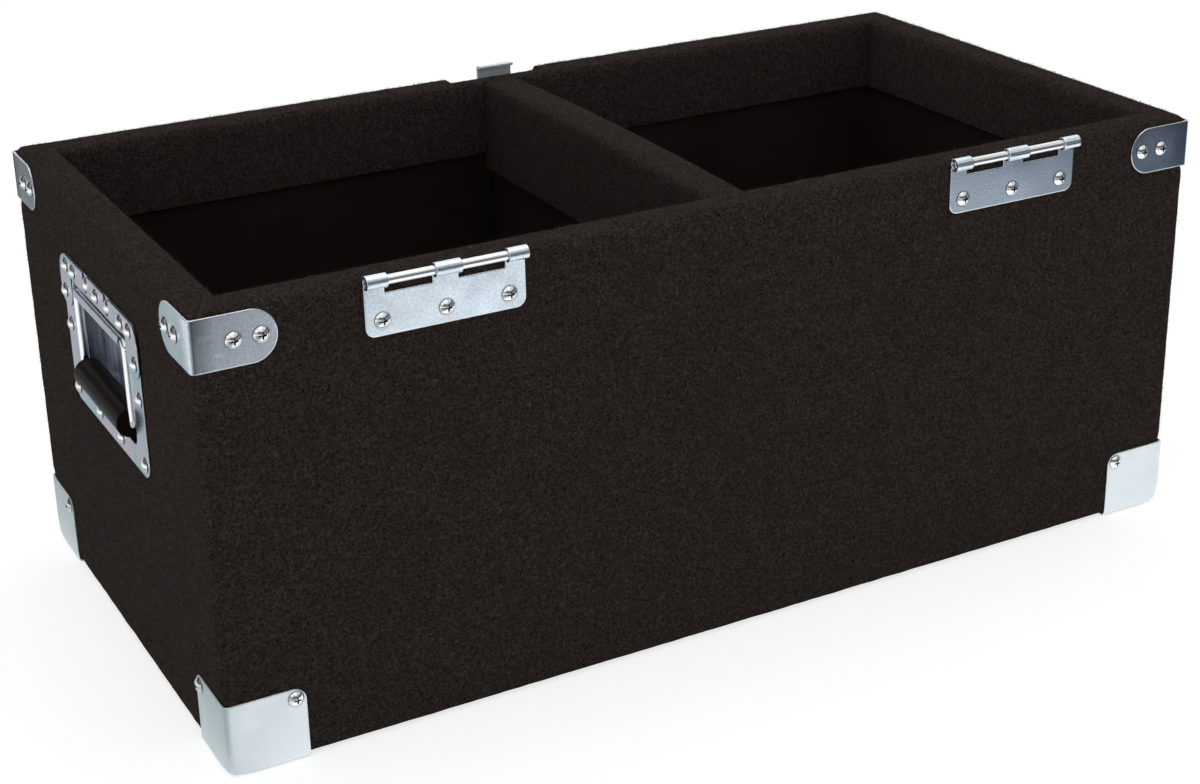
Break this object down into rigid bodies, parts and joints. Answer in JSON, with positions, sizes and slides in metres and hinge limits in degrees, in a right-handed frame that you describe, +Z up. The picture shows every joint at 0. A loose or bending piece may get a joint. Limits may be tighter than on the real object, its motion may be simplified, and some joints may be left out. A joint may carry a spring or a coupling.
{
  "type": "vinyl record case",
  "caption": "Carpet-covered flight case with open-topped record bays, steel corners, recessed end handles, hook-over hinge rods and a recessed twist latch, shown with its lid lifted off.",
  "frame": {"origin": "on the ground, under the middle of the case; the small hardware proud of the front and back doesn't move it", "axes": "+X along the case's length, -Y out of the long face with the hinge rods, +Z up"},
  "size_m": [0.781, 0.4016, 0.3223],
  "materials": {
    "painted_board": "plywood under thin black paint",
    "carpet": "needle-felt case carpet, brown-black",
    "plated_steel": "zinc-plated pressed sheet, bluish-white",
    "bright_steel": "bright nickel-plated",
    "grip_rubber": "smooth black rubber"
  },
  "bodies": {
    "root": {"back_board": "painted_board", "base_carpet": "carpet", "brace_screws": "bright_steel", "divider_board": "painted_board", "divider_carpet": "carpet", "floor_board": "painted_board", "foot_corner_back_left": "plated_steel", "foot_corner_back_right": "plated_steel", "foot_corner_front_left": "plated_steel", "foot_corner_front_right": "plated_steel", "foot_screws": "bright_steel", "front_board": "painted_board", "hinge_leaf_left": "plated_steel", "hinge_leaf_right": "plated_steel", "hinge_rod_left": "bright_steel", "hinge_rod_right": "bright_steel", "hinge_screws": "bright_steel", "latch_dish": "plated_steel", "latch_guide": "plated_steel", "latch_guide_rivets": "bright_steel", "latch_rivets": "bright_steel", "left_board": "painted_board", "left_handle_dish": "plated_steel", "left_handle_rivets": "bright_steel", "left_handle_strap": "plated_steel", "right_board": "painted_board", "right_handle_dish": "plated_steel", "right_handle_rivets": "bright_steel", "right_handle_strap": "plated_steel", "top_brace_back_left": "plated_steel", "top_brace_back_right": "plated_steel", "top_brace_front_left": "plated_steel", "top_brace_front_right": "plated_steel", "wrap_carpet": "carpet"},
    "left_bail": {"left_handle_bail": "bright_steel", "left_handle_grip": "grip_rubber"},
    "right_bail": {"right_handle_bail": "bright_steel", "right_handle_grip": "grip_rubber"},
    "latch_cam": {"latch_cam": "plated_steel", "latch_clip": "bright_steel", "latch_wing_pin": "bright_steel"},
    "latch_wing": {"latch_wing": "plated_steel"},
    "latch_hook": {"latch_hook": "plated_steel"}
  },
  "joints": [
    {"name": "left_bail_swing", "type": "hinge", "parent": "root", "child": "left_bail", "pos_m": [-0.38, 0, 0.247], "axis": [0, 1, 0], "range_deg": [-4, 95]},
    {"name": "right_bail_swing", "type": "hinge", "parent": "root", "child": "right_bail", "pos_m": [0.38, 0, 0.247], "axis": [0, -1, 0], "range_deg": [-4, 95]},
    {"name": "latch_twist", "type": "hinge", "parent": "root", "child": "latch_cam", "pos_m": [0, 0.18, 0.28], "axis": [0, 1, 0], "range_deg": [0, 180]},
    {"name": "latch_wing_fold", "type": "hinge", "parent": "latch_cam", "child": "latch_wing", "pos_m": [0, 0.1904, 0.28], "axis": [1, 0, 0], "range_deg": [0, 90]},
    {"name": "latch_hook_lift", "type": "slide", "parent": "root", "child": "latch_hook", "axis": [0, 0, 1], "range_m": [-0.006, 0]}
  ],
  "couplings": [
    {"joint": "latch_hook_lift", "follows": "latch_twist", "m_per_rad": -0.0019099}
  ]
}
